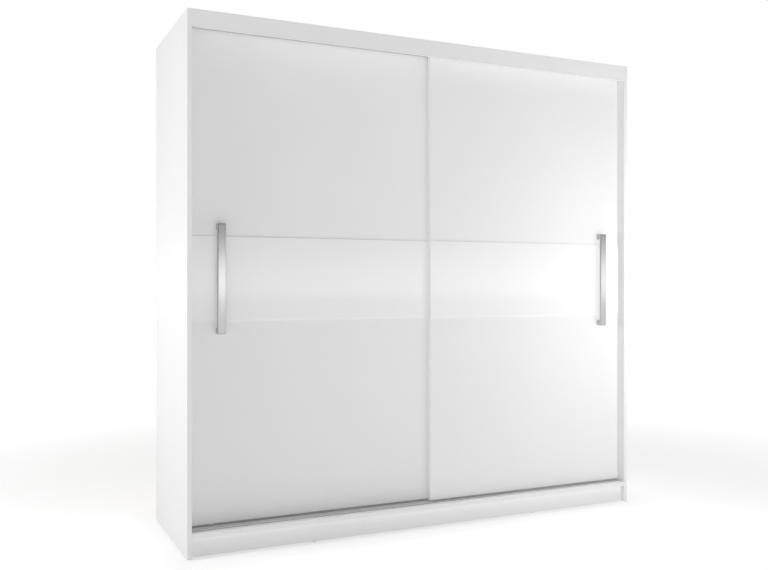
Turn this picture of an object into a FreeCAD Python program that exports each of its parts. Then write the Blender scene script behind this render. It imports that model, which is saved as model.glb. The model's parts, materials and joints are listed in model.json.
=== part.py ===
import FreeCAD, Part
import Sketcher
import os

# Two-door sliding wardrobe, millimetres.
# Row frame: origin on the floor under the middle of the carcass, +X to the
# right as seen from the front, +Y towards the wall, +Z up.  The front edges
# of the side panels are at the most negative Y.
#
# Places are worked out from the outer left, front, bottom corner of the
# carcass: "across" from the left side, "deep" from the front edges, "up" from
# the floor.  across() and deep() move them to the row frame.

os.makedirs("parts", exist_ok=True)

doc = FreeCAD.newDocument("SlidingWardrobe")
V = FreeCAD.Vector

# ---------------------------------------------------------------- sizes
SIZES = [
    # carcass
    ("width_all", 2018, "outer width over the side panels"),
    ("depth_all", 606, "outer depth with the back panels"),
    ("height_all", 2000, "outer height from the floor"),
    ("board_thick", 18, "melamine-faced chipboard"),
    ("back_thick", 3, "hardboard back"),
    ("glide_tall", 4, "glides under the carcass"),
    ("glide_rad", 9, "glide radius, half of a board edge"),
    ("plinth_top", 77, "underside of the bottom panel"),
    ("plinth_recess", 22, "plinth set back from the front edges"),
    ("rear_plinth_deep", 560, "front face of the rear plinth"),
    ("fascia_tall", 64, "height of the top fascia"),
    ("divider_deep", 112, "front edge of the centre partition"),
    # interior
    ("shelf_deep", 116, "front edge of the shelves"),
    ("shelf_back_gap", 2, "shelf to back panel"),
    ("shelf_side_gap", 2, "shelf end to panel"),
    ("hat_shelf_up", 1650, "underside of the hat shelves"),
    ("shelf_one_up", 470, "underside of shelf 1"),
    ("shelf_two_up", 863, "underside of shelf 2"),
    ("shelf_three_up", 1256, "underside of shelf 3"),
    ("rail_up", 1600, "hanging rail centre height"),
    ("rail_deep", 350, "hanging rail centre depth"),
    ("rail_rad", 12.5, "hanging rail outer radius"),
    ("rail_wall", 1.2, "hanging rail wall"),
    # doors
    ("door_thick", 18, "door board"),
    ("door_low", 103, "lower edge of the doors"),
    ("door_high", 1952, "upper edge of the doors"),
    ("front_lane", 53, "centre depth of the front door"),
    ("rear_lane", 87, "centre depth of the rear door"),
    ("door_side_gap", 0.5, "closed door to side panel"),
    ("left_door_wide", 1021.5, "rear, left door"),
    ("right_door_wide", 983, "front, right door"),
    ("band_low", 864, "lower edge of the glass band"),
    ("band_high", 1181, "upper edge of the glass band"),
    ("band_thick", 4, "glass band"),
    # handles
    ("handle_low", 813, "lower end of the handles"),
    ("handle_high", 1229, "upper end of the handles"),
    ("handle_wide", 32, "handle width"),
    ("handle_stand", 30, "handle front to door face"),
    ("handle_bar", 11, "grip bar thickness"),
    ("handle_foot", 24, "height of a handle foot"),
    ("handle_corner", 6, "outer corner of the handle"),
    ("handle_inner", 3, "inner corner of the handle"),
    ("handle_edge", 5, "rounding along both sides of the handle"),
    ("left_handle_across", 140.5, "centre of the left handle"),
    ("right_handle_across", 1894, "centre of the right handle"),
    # bottom track
    ("low_track_deep", 27, "front edge of the bottom track"),
    ("low_track_wide", 78, "depth of the bottom track"),
    ("low_track_base", 1.5, "base of the bottom track"),
    ("low_track_lip", 4, "edge lips of the bottom track"),
    ("low_rib_tall", 4.4, "running rib over the bottom panel"),
    ("low_rib_half", 1.5, "half width of a running rib"),
    # top track
    ("top_track_deep", 40, "front edge of the top track"),
    ("top_track_wide", 60, "depth of the top track"),
    ("top_track_tall", 20, "height of the top track"),
    ("top_track_base", 2, "web of the top track"),
    ("top_track_wall", 1.5, "channel wall"),
    ("lane_half", 5, "half of a channel's inner width"),
    ("track_end_gap", 1, "track end to side panel"),
    ("track_screw_deep", 70, "screw line of both tracks"),
    # bottom rollers
    ("wheel_up", 109, "roller axle height"),
    ("wheel_rad", 11.5, "roller flange radius"),
    ("wheel_groove", 9.3, "radius in the running groove"),
    ("wheel_half", 3.5, "half of the roller's thickness"),
    ("groove_half", 1.9, "half of the groove's width"),
    ("wheel_bore", 2.55, "roller bore radius"),
    ("axle_rad", 2.47, "roller axle radius"),
    ("roller_inset", 90, "roller centre to door edge"),
    ("roller_box_half", 30, "half length of a roller housing"),
    ("roller_box_high", 143, "top of the roller mortise"),
    ("mortise_front", 6, "mortise in front of the lane centre"),
    ("plate_thick", 2, "flange on the door's back"),
    # top guides
    ("guide_inset", 60, "guide centre to door edge"),
    ("guide_box_half", 20, "half length of a guide housing"),
    ("guide_box_low", 1912, "bottom of the guide mortise"),
    ("guide_tip_up", 1974, "top of a guide pin"),
    ("guide_rad", 4, "guide pin radius"),
    ("collar_rad", 5, "guide pin collar radius"),
    ("guide_bore", 5.3, "bore of the guide housing"),
    ("spring_low", 1915.3, "lower end of a guide spring"),
    ("spring_wire", 1, "spring wire diameter"),
    ("spring_mid", 3.8, "spring mean radius"),
    ("spring_pitch", 3.6, "spring pitch"),
    ("spring_turns_tall", 25, "rise of the spring's centre line"),
    # fasteners
    ("dowel_rad", 4, "dowel bore radius"),
    ("dowel_slack", 0.05, "dowel below its bore"),
    ("cam_rad", 7.5, "cam bore radius"),
    ("cam_inset", 34, "cam centre to panel end"),
    ("cam_bolt_rad", 3, "cam bolt radius"),
    ("pin_rad", 2.5, "shelf pin bore radius"),
    ("hole_deep", 12, "depth of dowel and bolt bores"),
    ("pin_hole_deep", 9, "depth of shelf pin bores"),
    ("stop_long", 20, "length of a track stop"),
    ("door_travel", 850, "travel of each door"),
]

sheet = doc.addObject("Spreadsheet::Sheet", "Size")
for row, (alias, value, note) in enumerate(SIZES, 1):
    sheet.set("A%d" % row, alias)
    sheet.set("B%d" % row, str(value))
    sheet.set("C%d" % row, note)
    sheet.setAlias("B%d" % row, alias)
doc.recompute()


class Length:
    """A length that carries its value and its formula in the sheet."""

    def __init__(self, value, formula):
        self.value = float(value)
        self.formula = formula

    def __add__(self, other):
        other = length(other)
        return Length(self.value + other.value, "(%s + %s)" % (self.formula, other.formula))

    def __radd__(self, other):
        return length(other) + self

    def __sub__(self, other):
        other = length(other)
        return Length(self.value - other.value, "(%s - %s)" % (self.formula, other.formula))

    def __rsub__(self, other):
        return length(other) - self

    def __mul__(self, other):
        other = length(other)
        return Length(self.value * other.value, "(%s * %s)" % (self.formula, other.formula))

    def __rmul__(self, other):
        return length(other) * self

    def __truediv__(self, other):
        other = length(other)
        return Length(self.value / other.value, "(%s / %s)" % (self.formula, other.formula))


def length(item):
    if isinstance(item, Length):
        return item
    number = float(item)
    text = repr(number) if number >= 0 else "(%r)" % number
    return Length(number, text)


S = {alias: Length(value, "Size." + alias) for alias, value, note in SIZES}


def across(item):
    return length(item) - S["width_all"] / 2


def deep(item):
    return length(item) - S["depth_all"] / 2


def bind(item, prop, size):
    item.setExpression(prop, length(size).formula)


# ---------------------------------------------------------------- features
SUBPARTS = []


def keep(item, label):
    item.Label = label
    SUBPARTS.append(item)
    return item


def new_body(label, x, y, z):
    """A body whose local origin stands at (x, y, z) of the row frame."""
    body = doc.addObject("PartDesign::Body", label)
    place(body, x, y, z)
    return keep(body, label)


def place(item, x, y, z):
    for name, size in (("x", x), ("y", y), ("z", z)):
        bind(item, "Placement.Base." + name, size)


def sketch_on(body, name, role, offset=0):
    """Sketch on a body plane.  XY: u=X v=Y normal +Z; XZ: u=X v=Z normal -Y;
    YZ: u=Y v=Z normal +X.  offset is along the positive axis."""
    plane = [f for f in body.Origin.OriginFeatures if f.Role == role][0]
    sketch = body.newObject("Sketcher::SketchObject", name)
    sketch.AttachmentSupport = [(plane, "")]
    sketch.MapMode = "FlatFace"
    offset = length(offset)
    if role == "XZ_Plane":
        offset = 0 - offset
    bind(sketch, "AttachmentOffset.Base.z", offset)
    return sketch


def outline(sketch, points):
    first = sketch.GeometryCount
    count = len(points)
    flat = [V(length(u).value, length(v).value, 0) for u, v in points]
    for i in range(count):
        sketch.addGeometry(Part.LineSegment(flat[i], flat[(i + 1) % count]), False)
    for i in range(count):
        sketch.addConstraint(
            Sketcher.Constraint("Coincident", first + i, 2, first + (i + 1) % count, 1)
        )
    for i, (u, v) in enumerate(points):
        pin_point(sketch, first + i, 1, u, v)


def pin_point(sketch, geo, pos, u, v):
    for kind, size in (("DistanceX", u), ("DistanceY", v)):
        size = length(size)
        number = sketch.addConstraint(
            Sketcher.Constraint(kind, -1, 1, geo, pos, size.value)
        )
        sketch.setExpression("Constraints[%d]" % number, size.formula)


def circle(sketch, u, v, rad):
    u, v, rad = length(u), length(v), length(rad)
    geo = sketch.addGeometry(Part.Circle(V(u.value, v.value, 0), V(0, 0, 1), rad.value), False)
    pin_point(sketch, geo, 3, u, v)
    number = sketch.addConstraint(Sketcher.Constraint("Radius", geo, rad.value))
    sketch.setExpression("Constraints[%d]" % number, rad.formula)


def rectangle(sketch, u0, v0, u1, v1):
    outline(sketch, [(u0, v0), (u1, v0), (u1, v1), (u0, v1)])


def pad(body, sketch, size):
    feature = body.newObject("PartDesign::Pad", sketch.Name + "_pad")
    feature.Profile = sketch
    bind(feature, "Length", size)
    doc.recompute()
    return feature


def pocket(body, sketch, size, into):
    """Cut towards +1 or -1 of the sketch plane's axis; it must remove solid."""
    before = body.Shape.Volume
    role = [f for f in body.Origin.OriginFeatures if f == sketch.AttachmentSupport[0][0]][0].Role
    feature = body.newObject("PartDesign::Pocket", sketch.Name + "_cut")
    feature.Profile = sketch
    bind(feature, "Length", size)
    feature.Reversed = (into < 0) if role == "XZ_Plane" else (into > 0)
    doc.recompute()
    if not body.Shape.Volume < before - 1e-3:
        raise RuntimeError(body.Label + ": " + sketch.Name + " cuts nothing")
    return feature


def board(label, x, y, z, dx, dy, dz):
    """A plain board with its lower, left, front corner at (x, y, z)."""
    body = new_body(label, across(x), deep(y), length(z))
    sketch = sketch_on(body, label + "_outline", "XY_Plane")
    rectangle(sketch, 0, 0, dx, dy)
    pad(body, sketch, dz)
    return body


def drill(body, name, role, face, into, size, holes):
    """Round blind bores (u, v, radius) from a face, cut along +1 or -1."""
    sketch = sketch_on(body, name, role, face)
    for u, v, rad in holes:
        circle(sketch, u, v, rad)
    return pocket(body, sketch, size, into)


def revolved(label, role, x, y, z, points):
    """A ring or pin turned about the sketch's vertical axis."""
    body = new_body(label, x, y, z)
    sketch = sketch_on(body, label + "_section", role)
    outline(sketch, points)
    doc.recompute()
    feature = body.newObject("PartDesign::Revolution", label + "_turned")
    feature.Profile = sketch
    feature.ReferenceAxis = (sketch, ["V_Axis"])
    feature.Angle = 360
    doc.recompute()
    return body


TURN = {
    "X": FreeCAD.Rotation(V(0, 1, 0), 90),
    "-X": FreeCAD.Rotation(V(0, 1, 0), -90),
    "Y": FreeCAD.Rotation(V(1, 0, 0), -90),
    "-Y": FreeCAD.Rotation(V(1, 0, 0), 90),
    "Z": FreeCAD.Rotation(),
    "-Z": FreeCAD.Rotation(V(1, 0, 0), 180),
}


def rod(name, axis, x, y, z, rad, size):
    """Cylinder from (x, y, z), in carcass places, along axis."""
    item = doc.addObject("Part::Cylinder", name)
    item.Placement = FreeCAD.Placement(V(), TURN[axis])
    bind(item, "Radius", rad)
    bind(item, "Height", size)
    place(item, across(x), deep(y), length(z))
    return item


def cone(name, axis, x, y, z, rad_one, rad_two, size):
    item = doc.addObject("Part::Cone", name)
    item.Placement = FreeCAD.Placement(V(), TURN[axis])
    bind(item, "Radius1", rad_one)
    bind(item, "Radius2", rad_two)
    bind(item, "Height", size)
    place(item, across(x), deep(y), length(z))
    return item


def block(name, x, y, z, dx, dy, dz):
    item = doc.addObject("Part::Box", name)
    bind(item, "Length", dx)
    bind(item, "Width", dy)
    bind(item, "Height", dz)
    place(item, across(x), deep(y), length(z))
    return item


def fuse(name, items):
    if len(items) == 1:
        return items[0]
    item = doc.addObject("Part::MultiFuse", name)
    item.Shapes = items
    return item


def cut(name, base, tool):
    item = doc.addObject("Part::Cut", name)
    item.Base = base
    item.Tool = tool
    return item


def screw(name, axis, x, y, z, head_rad, head_tall, shank_rad, shank_long):
    """Pan-head screw: head outside the face at (x, y, z), shank along axis."""
    back = {"X": "-X", "-X": "X", "Y": "-Y", "-Y": "Y", "Z": "-Z", "-Z": "Z"}[axis]
    return fuse(
        name,
        [
            cone(name + "_head", back, x, y, z, head_rad, length(head_rad) * 0.7, head_tall),
            rod(name + "_shank", axis, x, y, z, shank_rad, shank_long),
        ],
    )


# ---------------------------------------------------------------- shared places
board_thick = S["board_thick"]
half_board = board_thick / 2
inner_left = board_thick
inner_right = S["width_all"] - board_thick
inner_wide = S["width_all"] - 2 * board_thick
side_deep = S["depth_all"] - S["back_thick"]
bottom_up = S["plinth_top"]
floor_up = S["plinth_top"] + board_thick
top_up = S["height_all"] - board_thick
middle = S["width_all"] / 2
divider_left = middle - half_board
divider_right = middle + half_board
shelf_far = side_deep - S["shelf_back_gap"]

CAM_DEEP = [170, 340, 520]
SHELF_PIN_DEEP = [160, 555]
BASE_DOWEL_DEEP = [180, 350, 520]
SHELF_UP = [S["shelf_one_up"], S["shelf_two_up"], S["shelf_three_up"]]

left_door_low_x = inner_left + S["door_side_gap"]
left_door_high_x = left_door_low_x + S["left_door_wide"]
right_door_high_x = inner_right - S["door_side_gap"]
right_door_low_x = right_door_high_x - S["right_door_wide"]

# ---------------------------------------------------------------- side panels
glide_top = S["glide_tall"]
side_tall = S["height_all"] - glide_top


def side_panel(label, x, face, into, hat_only):
    """An upright side with its bores for bolts, dowels and shelf pins."""
    panel = board(label, x, 0, glide_top, board_thick, side_deep, side_tall)
    bolts = []
    for y in CAM_DEEP:
        bolts.append((y, bottom_up + half_board - glide_top, S["cam_bolt_rad"] + 0.05))
        bolts.append((y, top_up + half_board - glide_top, S["cam_bolt_rad"] + 0.05))
    drill(panel, label + "_bolt_bores", "YZ_Plane", face, into, S["hole_deep"], bolts)
    dowels = []
    for y, z in side_dowels():
        dowels.append((y, z - glide_top, S["dowel_rad"]))
    drill(panel, label + "_dowel_bores", "YZ_Plane", face, into, S["hole_deep"] + 1, dowels)
    pins = []
    levels = [S["hat_shelf_up"]] if hat_only else [S["hat_shelf_up"]] + SHELF_UP
    for level in levels:
        for y in SHELF_PIN_DEEP:
            pins.append((y, level - S["pin_rad"] - glide_top, S["pin_rad"]))
    drill(panel, label + "_pin_bores", "YZ_Plane", face, into, S["pin_hole_deep"], pins)
    return panel


def side_dowels():
    """Depth and height of the dowels in a side panel: fascia and plinths."""
    places = [(half_board, S["height_all"] - 48), (half_board, S["height_all"] - 16)]
    for y in (S["plinth_recess"] + half_board, S["rear_plinth_deep"] + half_board):
        places.append((y, length(24)))
        places.append((y, length(58)))
    return places


left_side = side_panel("left_side_panel", 0, board_thick, -1, True)
right_side = side_panel("right_side_panel", inner_right, 0, 1, False)


# ---------------------------------------------------------------- top and bottom
def lying_panel(label, z, y, cam_face, cam_into, dowel_face, dowel_into):
    """A panel between the sides, held by cams, with the partition's dowels."""
    panel = board(label, inner_left, y, z, inner_wide, side_deep - y, board_thick)
    cams = []
    ends = []
    for place_deep in CAM_DEEP:
        v = length(place_deep) - y
        cams.append((S["cam_inset"], v, S["cam_rad"]))
        cams.append((inner_wide - S["cam_inset"], v, S["cam_rad"]))
        ends.append((v, half_board, S["cam_bolt_rad"] + 0.05))
    drill(panel, label + "_cam_bores", "XY_Plane", cam_face, cam_into, 12.5, cams)
    drill(panel, label + "_left_end_bores", "YZ_Plane", 0, 1, S["cam_inset"] - 5, ends)
    drill(panel, label + "_right_end_bores", "YZ_Plane", inner_wide, -1, S["cam_inset"] - 5, ends)
    dowels = [(inner_wide / 2, length(d) - y, S["dowel_rad"]) for d in BASE_DOWEL_DEEP]
    drill(panel, label + "_dowel_bores", "XY_Plane", dowel_face, dowel_into, S["hole_deep"], dowels)
    return panel


bottom_panel = lying_panel("bottom_panel", bottom_up, length(0), 0, 1, board_thick, -1)
top_panel = lying_panel("top_panel", top_up, board_thick, board_thick, -1, 0, 1)

# ---------------------------------------------------------------- partition
divider_tall = top_up - floor_up
divider = board(
    "centre_partition", divider_left, S["divider_deep"], floor_up,
    board_thick, side_deep - S["divider_deep"], divider_tall,
)
end_dowels = [(half_board, length(d) - S["divider_deep"], S["dowel_rad"]) for d in BASE_DOWEL_DEEP]
drill(divider, "partition_foot_bores", "XY_Plane", 0, 1, S["hole_deep"] + 7, end_dowels)
drill(divider, "partition_head_bores", "XY_Plane", divider_tall, -1, S["hole_deep"] + 7, end_dowels)
left_pins = [
    (length(y) - S["divider_deep"], S["hat_shelf_up"] - S["pin_rad"] - floor_up, S["pin_rad"])
    for y in SHELF_PIN_DEEP
]
drill(divider, "partition_left_pin_bores", "YZ_Plane", 0, 1, 8, left_pins)
right_pins = [
    (length(y) - S["divider_deep"], level - S["pin_rad"] - floor_up, S["pin_rad"])
    for level in SHELF_UP
    for y in SHELF_PIN_DEEP
] + [
    (length(y) - S["divider_deep"], S["hat_shelf_up"] - S["pin_rad"] - floor_up, S["pin_rad"])
    for y in SHELF_PIN_DEEP
]
drill(divider, "partition_right_pin_bores", "YZ_Plane", board_thick, -1, 8, right_pins)


# ---------------------------------------------------------------- plinths, fascia
def end_dowelled(label, y, z, tall, levels):
    """A rail between the sides with dowel bores in both ends."""
    rail = board(label, inner_left, y, z, inner_wide, board_thick, tall)
    holes = [(half_board, length(level) - z, S["dowel_rad"]) for level in levels]
    drill(rail, label + "_left_bores", "YZ_Plane", 0, 1, S["hole_deep"] + 7, holes)
    drill(rail, label + "_right_bores", "YZ_Plane", inner_wide, -1, S["hole_deep"] + 7, holes)
    return rail


plinth_tall = S["plinth_top"] - glide_top
front_plinth = end_dowelled("front_plinth", S["plinth_recess"], glide_top, plinth_tall, [24, 58])
rear_plinth = end_dowelled("rear_plinth", S["rear_plinth_deep"], glide_top, plinth_tall, [24, 58])
fascia = end_dowelled(
    "front_fascia", length(0), S["height_all"] - S["fascia_tall"], S["fascia_tall"],
    [S["height_all"] - 48, S["height_all"] - 16],
)
centre_support = board(
    "centre_support", divider_left, S["plinth_recess"] + board_thick, glide_top,
    board_thick, S["rear_plinth_deep"] - S["plinth_recess"] - board_thick, plinth_tall,
)

# ---------------------------------------------------------------- back panels
back_low = S["plinth_top"]
back_tall = S["height_all"] - back_low
board("left_back_panel", 1, side_deep, back_low, middle - 2, S["back_thick"], back_tall - 1)
board("right_back_panel", middle + 1, side_deep, back_low, middle - 2, S["back_thick"], back_tall - 1)

# ---------------------------------------------------------------- shelves
shelf_wide = divider_left - inner_left - 2 * S["shelf_side_gap"]
shelf_long = shelf_far - S["shelf_deep"]
left_shelf_x = inner_left + S["shelf_side_gap"]
right_shelf_x = divider_right + S["shelf_side_gap"]


def shelf(label, x, z):
    return board(label, x, S["shelf_deep"], z, shelf_wide, shelf_long, board_thick)


shelf("left_hat_shelf", left_shelf_x, S["hat_shelf_up"])
shelf("right_hat_shelf", right_shelf_x, S["hat_shelf_up"])
shelf("right_shelf_1", right_shelf_x, S["shelf_one_up"])
shelf("right_shelf_2", right_shelf_x, S["shelf_two_up"])
shelf("right_shelf_3", right_shelf_x, S["shelf_three_up"])

# Shelf pins: a stub in the panel, a collar on its face and a peg below the shelf.
pegs = []


def shelf_peg(name, axis, x, y, z, stub):
    """x is on the panel's face; axis points out of the panel."""
    step = 1 if axis == "X" else -1
    pegs.append(
        fuse(
            name,
            [
                rod(name + "_stub", axis, length(x) - step * stub, y, z,
                    S["pin_rad"] - 0.05, length(stub) + 12),
                rod(name + "_collar", axis, x, y, z, 3.8, 1.4),
            ],
        )
    )


for number, y in enumerate(SHELF_PIN_DEEP):
    level = S["hat_shelf_up"] - S["pin_rad"]
    shelf_peg("peg_hat_left_%d" % number, "X", inner_left, y, level, 8)
    shelf_peg("peg_hat_divider_left_%d" % number, "-X", divider_left, y, level, 7)
    shelf_peg("peg_hat_divider_right_%d" % number, "X", divider_right, y, level, 7)
    shelf_peg("peg_hat_right_%d" % number, "-X", inner_right, y, level, 8)
    for index, up in enumerate(SHELF_UP):
        level = up - S["pin_rad"]
        shelf_peg("peg_%d_divider_%d" % (index, number), "X", divider_right, y, level, 7)
        shelf_peg("peg_%d_right_%d" % (index, number), "-X", inner_right, y, level, 8)
keep(fuse("shelf_pins", pegs), "shelf_pins")

# ---------------------------------------------------------------- hanging rail
bracket_flange = 2.5
bracket_long = 14
rail_start = inner_left + bracket_flange + 0.5
rail_long = divider_left - inner_left - 2 * (bracket_flange + 0.5)
rail_body = new_body("hanging_rail", across(rail_start), deep(S["rail_deep"]), S["rail_up"])
rail_sketch = sketch_on(rail_body, "hanging_rail_section", "YZ_Plane")
circle(rail_sketch, 0, 0, S["rail_rad"])
circle(rail_sketch, 0, 0, S["rail_rad"] - S["rail_wall"])
pad(rail_body, rail_sketch, rail_long)


def rail_bracket(name, axis, x):
    """Flange and cup that carry one end of the rail."""
    step = 1 if axis == "X" else -1
    solid = fuse(
        name + "_solid",
        [
            rod(name + "_flange", axis, x, S["rail_deep"], S["rail_up"], 26, bracket_flange),
            rod(name + "_cup", axis, x, S["rail_deep"], S["rail_up"], S["rail_rad"] + 3, bracket_long),
        ],
    )
    tools = [
        rod(name + "_socket", axis, x + step * bracket_flange, S["rail_deep"], S["rail_up"],
            S["rail_rad"] + 0.1, bracket_long)
    ]
    for sign, tag in ((1, "high"), (-1, "low")):
        tools.append(
            rod(name + "_hole_" + tag, axis, x - step * 1, S["rail_deep"],
                S["rail_up"] + sign * 20.5, 1.9, 6)
        )
    return cut(name, solid, fuse(name + "_tools", tools))


keep(
    fuse("hanging_rail_brackets", [
        rail_bracket("bracket_left", "X", inner_left),
        rail_bracket("bracket_right", "-X", divider_left),
    ]),
    "hanging_rail_brackets",
)
rail_screws = []
for tag, x, axis in (("left", inner_left + bracket_flange, "-X"),
                     ("right", divider_left - bracket_flange, "X")):
    for sign, end in ((1, "high"), (-1, "low")):
        rail_screws.append(
            screw("rail_screw_%s_%s" % (tag, end), axis, x, S["rail_deep"],
                  S["rail_up"] + sign * 20.5, 3.2, 1.8, 1.6, 14)
        )
keep(fuse("rail_bracket_screws", rail_screws), "rail_bracket_screws")

# ---------------------------------------------------------------- tracks
track_start = inner_left + S["track_end_gap"]
track_long = inner_wide - 2 * S["track_end_gap"]
TRACK_SCREWS = [110, 550, 990, 1430, 1870]

low_track = new_body("bottom_track", across(track_start), deep(S["low_track_deep"]), floor_up)
low_sketch = sketch_on(low_track, "bottom_track_section", "YZ_Plane")
wide = S["low_track_wide"]
base = S["low_track_base"]
lip = S["low_track_lip"]
rib = S["low_rib_tall"]
half = S["low_rib_half"]
first_lane = S["front_lane"] - S["low_track_deep"]
second_lane = S["rear_lane"] - S["low_track_deep"]
outline(low_sketch, [
    (0, 0), (wide, 0), (wide, lip), (wide - 1.5, lip), (wide - 1.5, base),
    (second_lane + half, base), (second_lane + half, rib - 0.6), (second_lane + half - 0.6, rib),
    (second_lane - half + 0.6, rib), (second_lane - half, rib - 0.6), (second_lane - half, base),
    (first_lane + half, base), (first_lane + half, rib - 0.6), (first_lane + half - 0.6, rib),
    (first_lane - half + 0.6, rib), (first_lane - half, rib - 0.6), (first_lane - half, base),
    (1.5, base), (1.5, lip), (0, lip),
])
pad(low_track, low_sketch, track_long)
drill(low_track, "bottom_track_holes", "XY_Plane", base, -1, base,
      [(length(x) - track_start, S["track_screw_deep"] - S["low_track_deep"], 2) for x in TRACK_SCREWS])

top_track_low = top_up - S["top_track_tall"]
high_track = new_body("top_track", across(track_start), deep(S["top_track_deep"]), top_track_low)
high_sketch = sketch_on(high_track, "top_track_section", "YZ_Plane")
tall = S["top_track_tall"]
web = tall - S["top_track_base"]
wall = S["top_track_wall"]
lane_one = S["front_lane"] - S["top_track_deep"]
lane_two = S["rear_lane"] - S["top_track_deep"]
lane = S["lane_half"]
outline(high_sketch, [
    (0, tall), (0, web),
    (lane_one - lane - wall, web), (lane_one - lane - wall, 0), (lane_one - lane, 0), (lane_one - lane, web),
    (lane_one + lane, web), (lane_one + lane, 0), (lane_one + lane + wall, 0), (lane_one + lane + wall, web),
    (lane_two - lane - wall, web), (lane_two - lane - wall, 0), (lane_two - lane, 0), (lane_two - lane, web),
    (lane_two + lane, web), (lane_two + lane, 0), (lane_two + lane + wall, 0), (lane_two + lane + wall, web),
    (S["top_track_wide"], web), (S["top_track_wide"], tall),
])
pad(high_track, high_sketch, track_long)
drill(high_track, "top_track_holes", "XY_Plane", tall, -1, S["top_track_base"],
      [(length(x) - track_start, S["track_screw_deep"] - S["top_track_deep"], 2) for x in TRACK_SCREWS])

track_screws = []
for number, x in enumerate(TRACK_SCREWS):
    track_screws.append(
        screw("low_track_screw_%d" % number, "-Z", x, S["track_screw_deep"], floor_up + base,
              3.5, 2, 1.75, 15)
    )
    track_screws.append(
        screw("high_track_screw_%d" % number, "Z", x, S["track_screw_deep"],
              top_up - S["top_track_base"], 3.5, 2, 1.75, 15)
    )
keep(fuse("track_screws", track_screws), "track_screws")

# Stops clipped in the channels: each lane has one at both ends of its travel.
left_outer_guide = left_door_low_x + S["guide_inset"]
left_inner_guide = left_door_high_x - S["guide_inset"]
right_inner_guide = right_door_low_x + S["guide_inset"]
right_outer_guide = right_door_high_x - S["guide_inset"]
stop_room = S["guide_rad"] + 1


def track_stop(name, x, lane_deep):
    return block(name, x, lane_deep - lane + 0.1, top_track_low + 4,
                 S["stop_long"], 2 * lane - 0.2, web - 4)


keep(
    fuse("track_stops", [
        track_stop("stop_rear_left", left_outer_guide - stop_room - S["stop_long"], S["rear_lane"]),
        track_stop("stop_rear_right", left_inner_guide + S["door_travel"] + stop_room, S["rear_lane"]),
        track_stop("stop_front_left", right_inner_guide - S["door_travel"] - stop_room - S["stop_long"], S["front_lane"]),
        track_stop("stop_front_right", right_outer_guide + stop_room, S["front_lane"]),
    ]),
    "track_stops",
)

# ---------------------------------------------------------------- carcass fasteners
locks = []
bolts = []
for z, lock_low, tag in (
    (bottom_up + half_board, bottom_up, "low"),
    (top_up + half_board, S["height_all"] - 12.3, "high"),
):
    for number, y in enumerate(CAM_DEEP):
        for side, x in (("left", inner_left + S["cam_inset"]), ("right", inner_right - S["cam_inset"])):
            name = "cam_%s_%s_%d" % (tag, side, number)
            body = rod(name + "_drum", "Z", x, y, lock_low, S["cam_rad"] - 0.05, 12.3)
            low_face = tag == "low"
            slot_up = length(lock_low) - 0.1 if low_face else S["height_all"] - 2.4
            slot = block(name + "_slot", x - 5, length(y) - 0.7, slot_up, 10, 1.4, 2.5)
            locks.append(cut(name, body, slot))
            start = inner_left - S["hole_deep"] + 0.2 if side == "left" else inner_right + S["hole_deep"] - 0.2
            bolts.append(
                rod("bolt_%s_%s_%d" % (tag, side, number), "X" if side == "left" else "-X",
                    start, y, z, S["cam_bolt_rad"], S["hole_deep"] + S["cam_inset"] - S["cam_rad"] - 0.3)
            )
keep(fuse("cam_locks", locks), "cam_locks")
keep(fuse("cam_bolts", bolts), "cam_bolts")

dowels = []
dowel_rad = S["dowel_rad"] - S["dowel_slack"]
for number, (y, z) in enumerate(side_dowels()):
    dowels.append(rod("dowel_left_%d" % number, "X", inner_left - 12, y, z, dowel_rad, 30))
    dowels.append(rod("dowel_right_%d" % number, "-X", inner_right + 12, y, z, dowel_rad, 30))
for number, y in enumerate(BASE_DOWEL_DEEP):
    dowels.append(rod("dowel_foot_%d" % number, "Z", middle, y, floor_up - 11.5, dowel_rad, 30))
    dowels.append(rod("dowel_head_%d" % number, "-Z", middle, y, top_up + 11.5, dowel_rad, 30))
keep(fuse("wood_dowels", dowels), "wood_dowels")

# Nails through the back panels into the edges of the carcass, heads flush.
nails = []


def nail(x, z):
    name = "nail_%d" % len(nails)
    nails.append(
        fuse(name, [
            rod(name + "_head", "-Y", x, S["depth_all"], z, 2, 0.6),
            rod(name + "_shank", "-Y", x, S["depth_all"], z, 0.8, 22),
        ])
    )


for z in (180, 560, 940, 1320, 1700):
    nail(half_board, z)
    nail(S["width_all"] - half_board, z)
    nail(middle - 4.5, z)
    nail(middle + 4.5, z + 60)
for x in (250, 630, 1390, 1770):
    nail(x, bottom_up + half_board)
    nail(x, top_up + half_board)
keep(fuse("back_panel_nails", nails), "back_panel_nails")

# Glides: a disc under each foot point.
glides = []


def glide(x, y):
    name = "glide_%d" % len(glides)
    glides.append(rod(name, "Z", x, y, 0, S["glide_rad"] - 0.5, glide_top))


for y in (45, 300, 570):
    glide(half_board, y)
    glide(S["width_all"] - half_board, y)
for x in (500, 1518):
    glide(x, S["plinth_recess"] + half_board)
    glide(x, S["rear_plinth_deep"] + half_board)
for y in (180, 430):
    glide(middle, y)
keep(fuse("floor_glides", glides), "floor_glides")


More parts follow.
